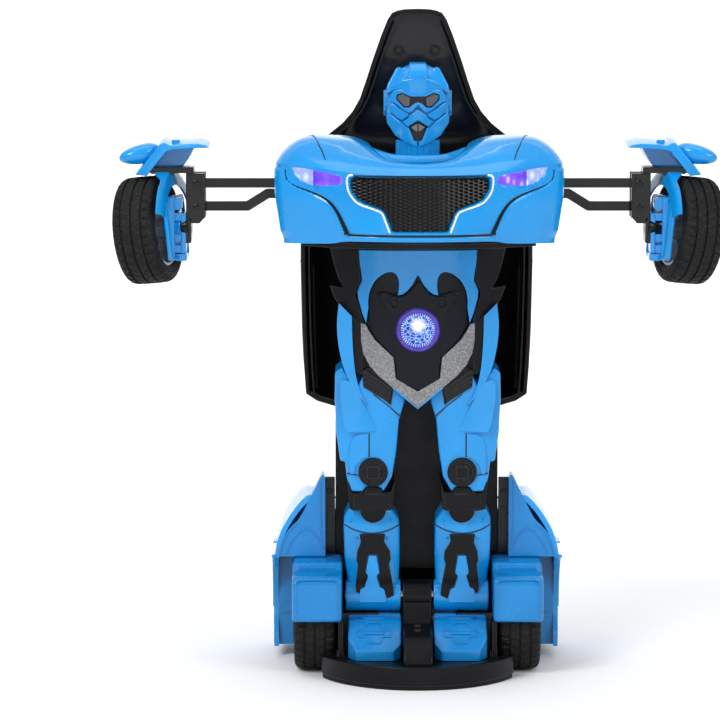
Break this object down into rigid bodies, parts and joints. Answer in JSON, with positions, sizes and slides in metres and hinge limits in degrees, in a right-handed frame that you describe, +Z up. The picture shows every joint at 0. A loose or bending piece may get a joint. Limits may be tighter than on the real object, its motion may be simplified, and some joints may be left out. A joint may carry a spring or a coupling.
{
  "type": "transforming robot car",
  "caption": "Toy car that stands up as a robot: bowed car-front chest, wheels on folding arms, cabin shell behind the head, half-round stand.",
  "frame": {"origin": "on the floor, in the underside of the stand plate, midway between the legs and 10 mm behind the ankle shaft", "axes": "+Z up the standing robot, -Y the way the robot faces, +X towards its left hand"},
  "size_m": [0.2998, 0.1512, 0.33],
  "materials": {
    "blue_body": "gloss blue moulded ABS",
    "black_body": "satin black moulded ABS",
    "steel": "ground steel",
    "red_lens": "translucent red",
    "battery": "printed sleeve",
    "circuit": "solder mask",
    "gear_case": "natural nylon",
    "silver_trim": "metal-flake silver",
    "clear_lens": "clear polycarbonate",
    "lamp_ring": "translucent violet-blue",
    "grey_mask": "grey metallic plastic",
    "grille_black": "gloss black mesh",
    "rubber": "matt rubber",
    "rim_grey": "dark grey plastic"
  },
  "bodies": {
    "base": {"stand_plate": "black_body", "chassis_tray": "black_body", "ankle_bracket": "black_body", "ankle_shaft": "steel", "feet": "blue_body", "wheel_covers": "blue_body", "rear_fender_left": "blue_body", "rear_fender_right": "blue_body", "rear_deck": "blue_body", "tail_lights": "red_lens", "rear_bumper": "black_body", "battery_cells": "battery", "battery_door": "black_body", "main_board": "circuit", "drive_gearboxes": "gear_case"},
    "upper_body": {"shin_left": "blue_body", "shin_right": "blue_body", "shin_trims": "black_body", "knee_clamps": "black_body", "thigh_left": "blue_body", "thigh_right": "blue_body", "spine_plate": "black_body", "torso_shell": "black_body", "fold_motor": "gear_case", "waist_strips": "blue_body", "shoulder_wings": "black_body", "chest_plate": "blue_body", "chest_shield": "black_body", "chest_chevron": "silver_trim", "chest_bezel": "lamp_ring", "chest_lens": "clear_lens", "shoulder_beam": "black_body", "pivot_pins": "steel"},
    "head": {"head_shell": "blue_body", "face_mask": "grey_mask"},
    "nose": {"fascia": "blue_body", "hood": "blue_body", "grille": "grille_black", "headlights": "clear_lens", "nose_floor": "black_body"},
    "back_shell": {"cabin_shell": "black_body"},
    "switch": {"power_switch": "black_body"},
    "upper_bar_left": {"upper_bar_left": "black_body"},
    "lower_bar_left": {"lower_bar_left": "black_body"},
    "knuckle_left": {"knuckle_left": "black_body", "brake_cover_left": "blue_body", "side_panel_left": "blue_body"},
    "front_wheel_left": {"front_tyre_left": "rubber", "front_rim_left": "rim_grey"},
    "rear_wheel_left": {"rear_tyre_left": "rubber", "rear_rim_left": "rim_grey"},
    "upper_bar_right": {"upper_bar_right": "black_body"},
    "lower_bar_right": {"lower_bar_right": "black_body"},
    "knuckle_right": {"knuckle_right": "black_body", "brake_cover_right": "blue_body", "side_panel_right": "blue_body"},
    "front_wheel_right": {"front_tyre_right": "rubber", "front_rim_right": "rim_grey"},
    "rear_wheel_right": {"rear_tyre_right": "rubber", "rear_rim_right": "rim_grey"}
  },
  "joints": [
    {"name": "body_fold", "type": "hinge", "parent": "base", "child": "upper_body", "pos_m": [0, -0.01, 0.038], "axis": [1, 0, 0], "range_deg": [0, 90]},
    {"name": "nose_fold", "type": "hinge", "parent": "upper_body", "child": "nose", "pos_m": [0, -0.03, 0.222], "axis": [1, 0, 0], "range_deg": [-90, 0]},
    {"name": "head_drop", "type": "slide", "parent": "upper_body", "child": "head", "axis": [0, 0, 1], "range_m": [-0.036, 0]},
    {"name": "back_shell_slide", "type": "slide", "parent": "upper_body", "child": "back_shell", "axis": [0, 0, 1], "range_m": [-0.075, 0]},
    {"name": "arm_swing_left", "type": "hinge", "parent": "upper_body", "child": "upper_bar_left", "pos_m": [0.034, -0.019, 0.246], "axis": [0, 1, 0], "range_deg": [0, 60]},
    {"name": "lower_bar_pivot_left", "type": "hinge", "parent": "upper_body", "child": "lower_bar_left", "pos_m": [0.034, -0.019, 0.2343], "axis": [0, 1, 0], "range_deg": [0, 60]},
    {"name": "knuckle_pivot_left", "type": "hinge", "parent": "upper_bar_left", "child": "knuckle_left", "pos_m": [0.108, -0.019, 0.246], "axis": [0, 1, 0], "range_deg": [-60, 0]},
    {"name": "front_wheel_spin_left", "type": "hinge", "parent": "knuckle_left", "child": "front_wheel_left", "pos_m": [0.133, -0.019, 0.2225], "axis": [0.9606, 0.2574, -0.1045], "continuous": true},
    {"name": "rear_wheel_spin_left", "type": "hinge", "parent": "base", "child": "rear_wheel_left", "pos_m": [0.051, -0.006, 0.0265], "axis": [1, 0, 0], "continuous": true},
    {"name": "arm_swing_right", "type": "hinge", "parent": "upper_body", "child": "upper_bar_right", "pos_m": [-0.034, -0.019, 0.246], "axis": [0, -1, 0], "range_deg": [0, 60]},
    {"name": "lower_bar_pivot_right", "type": "hinge", "parent": "upper_body", "child": "lower_bar_right", "pos_m": [-0.034, -0.019, 0.2343], "axis": [0, -1, 0], "range_deg": [0, 60]},
    {"name": "knuckle_pivot_right", "type": "hinge", "parent": "upper_bar_right", "child": "knuckle_right", "pos_m": [-0.108, -0.019, 0.246], "axis": [0, -1, 0], "range_deg": [-60, 0]},
    {"name": "front_wheel_spin_right", "type": "hinge", "parent": "knuckle_right", "child": "front_wheel_right", "pos_m": [-0.133, -0.019, 0.2225], "axis": [-0.9606, 0.2574, -0.1045], "continuous": true},
    {"name": "rear_wheel_spin_right", "type": "hinge", "parent": "base", "child": "rear_wheel_right", "pos_m": [-0.051, -0.006, 0.0265], "axis": [1, 0, 0], "continuous": true},
    {"name": "power_switch_slide", "type": "slide", "parent": "base", "child": "switch", "axis": [1, 0, 0], "range_m": [0, 0.004]}
  ],
  "couplings": [
    {"joint": "nose_fold", "follows": "body_fold", "ratio": -1},
    {"joint": "head_drop", "follows": "body_fold", "m_per_rad": -0.022918},
    {"joint": "back_shell_slide", "follows": "body_fold", "m_per_rad": -0.047746},
    {"joint": "lower_bar_pivot_left", "follows": "arm_swing_left", "ratio": 1},
    {"joint": "knuckle_pivot_left", "follows": "arm_swing_left", "ratio": -1},
    {"joint": "lower_bar_pivot_right", "follows": "arm_swing_right", "ratio": 1},
    {"joint": "knuckle_pivot_right", "follows": "arm_swing_right", "ratio": -1}
  ]
}
